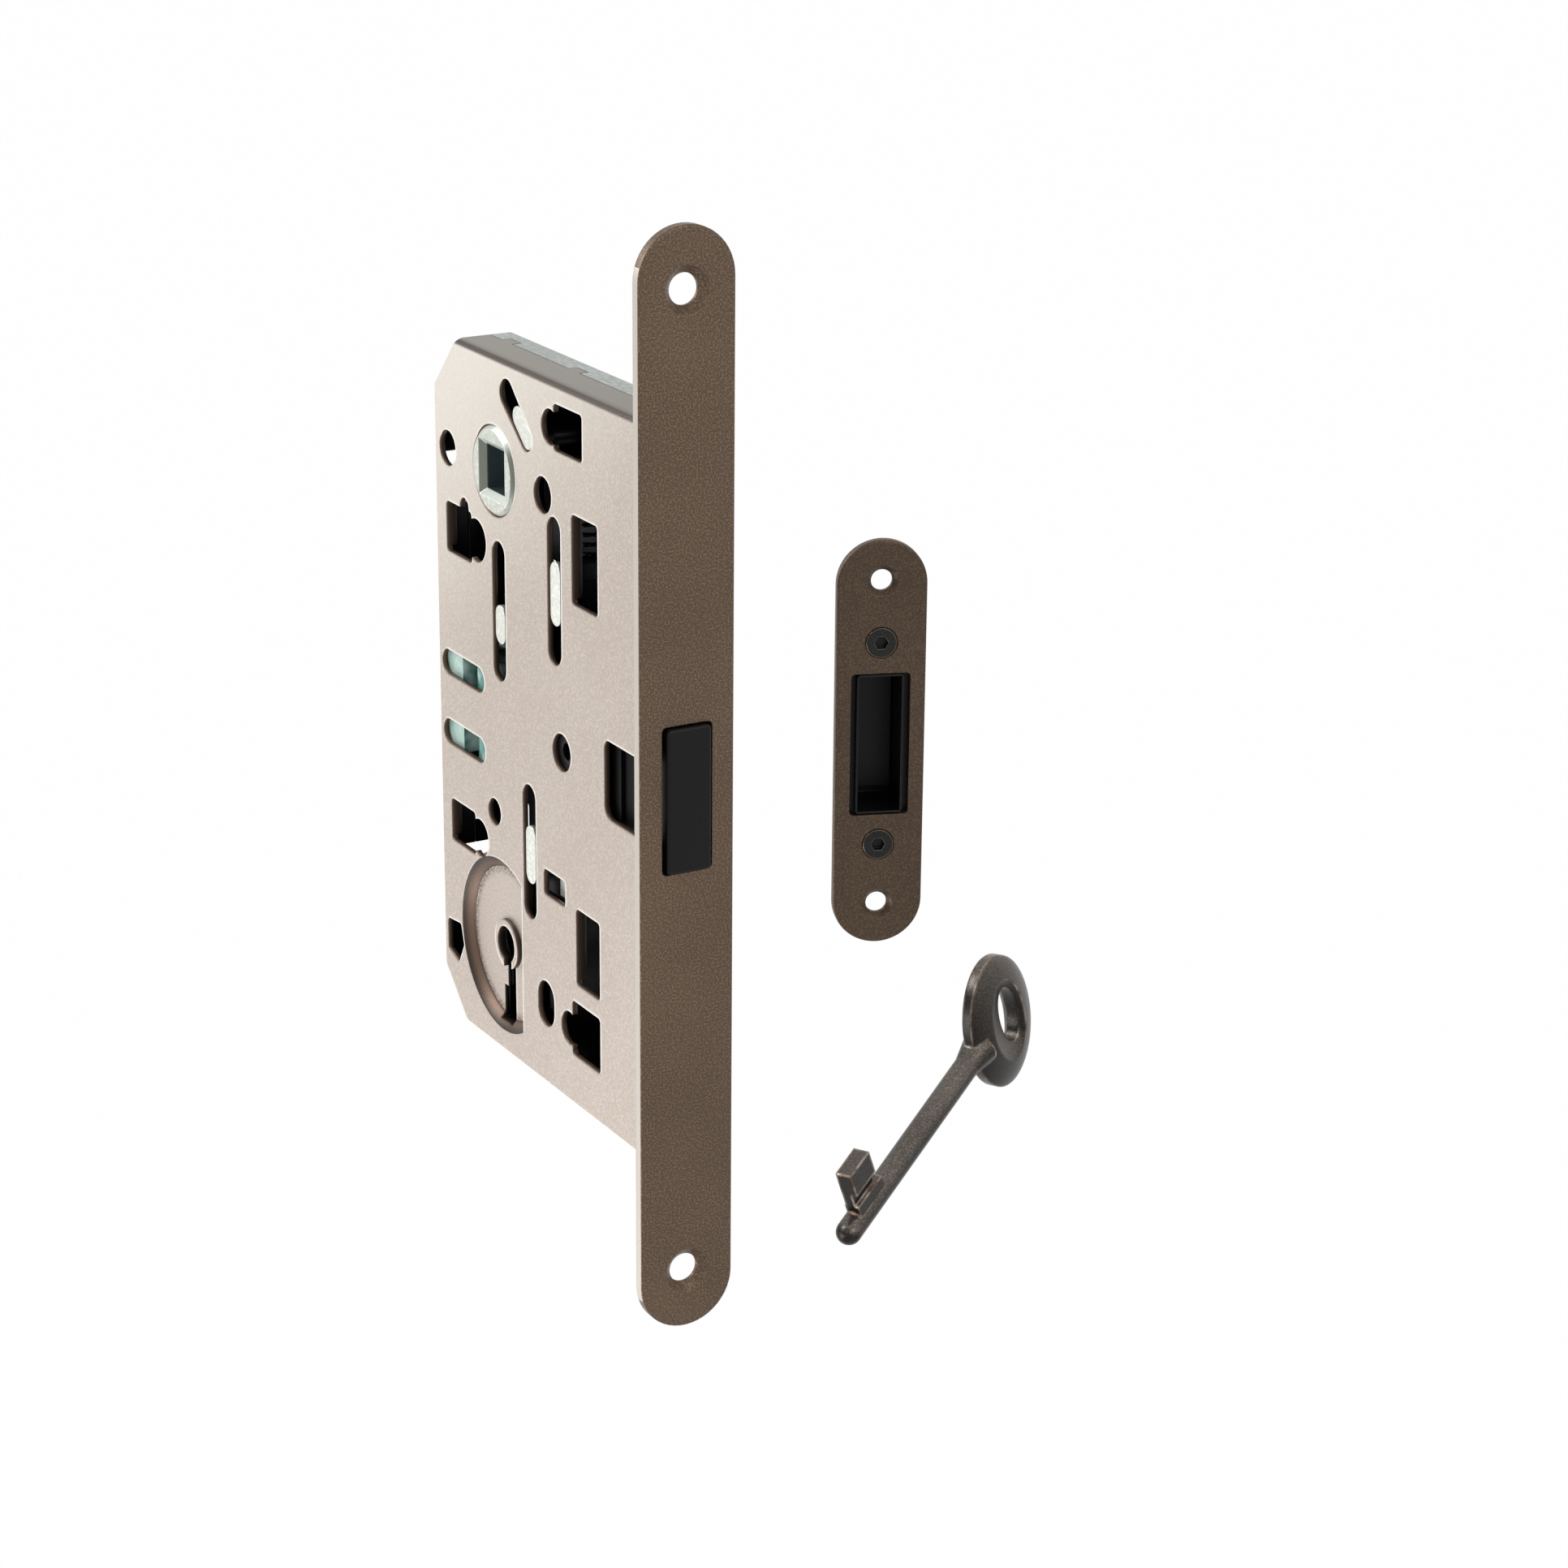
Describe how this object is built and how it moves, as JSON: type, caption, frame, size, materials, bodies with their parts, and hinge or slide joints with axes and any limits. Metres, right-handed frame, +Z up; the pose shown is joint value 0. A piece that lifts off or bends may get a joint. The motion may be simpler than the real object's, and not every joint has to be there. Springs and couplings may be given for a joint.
{
  "type": "mortise sashlock",
  "caption": "Magnetic-latch mortise sashlock for a warded key, with rounded forend, handle follower, adjustable strike and key.",
  "frame": {"origin": "centre of the forend's front face, midway between its two screw holes", "axes": "-Y out of the door edge, +Z up, X across the case, whose near side faces -X"},
  "size_m": [0.1969, 0.1735, 0.265],
  "materials": {
    "forend_bronze": "fine metallic bronze paint, satin",
    "case_bronze": "pale bronze lacquer on sheet steel",
    "zinc_sheet": "zinc plated sheet",
    "zinc_casting": "pale zinc die casting",
    "black_plastic": "moulded, fine grain",
    "teal_plastic": "glossy moulding",
    "spring_steel": "drawn wire and strip",
    "armature_steel": "blackened steel",
    "strike_bronze": "fine metallic bronze paint, satin",
    "screw_black": "black oxide",
    "key_bronze": "dark antique bronze, worn at the edges"
  },
  "bodies": {
    "lock_frame": {"forend_plate": "forend_bronze", "case_cover": "case_bronze", "case_body": "zinc_sheet", "latch_guide": "black_plastic", "crank_pin": "spring_steel", "return_spring": "spring_steel", "detent_spring": "spring_steel", "transfer_spring": "spring_steel", "latch_spring": "spring_steel", "damper_block": "teal_plastic", "strike_plate": "strike_bronze", "strike_screws": "screw_black", "strike_nuts": "spring_steel"},
    "hub": {"follower": "zinc_casting"},
    "transfer": {"transfer_slide": "zinc_casting"},
    "slider": {"return_slider": "zinc_casting"},
    "latch": {"latch_bolt": "black_plastic", "latch_armature": "armature_steel"},
    "crank": {"latch_crank": "zinc_casting"},
    "deadlock": {"lock_slide": "zinc_casting"},
    "keep_box": {"strike_box": "black_plastic", "strike_magnet": "armature_steel"},
    "loose_key": {"key": "key_bronze"}
  },
  "joints": [
    {"name": "follower_turn", "type": "hinge", "parent": "lock_frame", "child": "hub", "pos_m": [0, 0.06, 0.0446], "axis": [-1, 0, 0], "range_deg": [0, 28], "stiffness_Nm_per_rad": 0.6, "springref_deg": -17.19},
    {"name": "transfer_lift", "type": "slide", "parent": "lock_frame", "child": "transfer", "axis": [0, 0, 1], "range_m": [0, 0.0065], "deforming": ["transfer_spring"]},
    {"name": "return_push", "type": "slide", "parent": "lock_frame", "child": "slider", "axis": [0, 0.752, 0.6592], "range_m": [0, 0.00514], "deforming": ["return_spring"]},
    {"name": "crank_turn", "type": "hinge", "parent": "lock_frame", "child": "crank", "pos_m": [0, 0.044, 0.02], "axis": [1, 0, 0], "range_deg": [0, 40.4]},
    {"name": "latch_slide", "type": "slide", "parent": "lock_frame", "child": "latch", "axis": [0, 1, 0], "range_m": [-0.009, 0], "stiffness_N_per_m": 20, "springref_m": 0.02, "deforming": ["latch_spring"]},
    {"name": "lock_slide_lift", "type": "slide", "parent": "lock_frame", "child": "deadlock", "axis": [0, 0, 1], "range_m": [0, 0.006], "deforming": ["detent_spring"]},
    {"name": "strike_box_shift", "type": "slide", "parent": "lock_frame", "child": "keep_box", "axis": [0.9379, -0.3469, 0], "range_m": [-0.0011, 0.0011]},
    {"name": "key_turn", "type": "hinge", "parent": "lock_frame", "child": "loose_key", "pos_m": [0.11586, 0.13475, -0.164], "axis": [-0.8191, -0.4243, -0.386], "range_deg": [0, 360]}
  ],
  "couplings": [
    {"joint": "transfer_lift", "follows": "follower_turn", "m_per_rad": 0.0133},
    {"joint": "return_push", "follows": "follower_turn", "m_per_rad": 0.0105},
    {"joint": "crank_turn", "follows": "follower_turn", "ratio": 1.442}
  ]
}
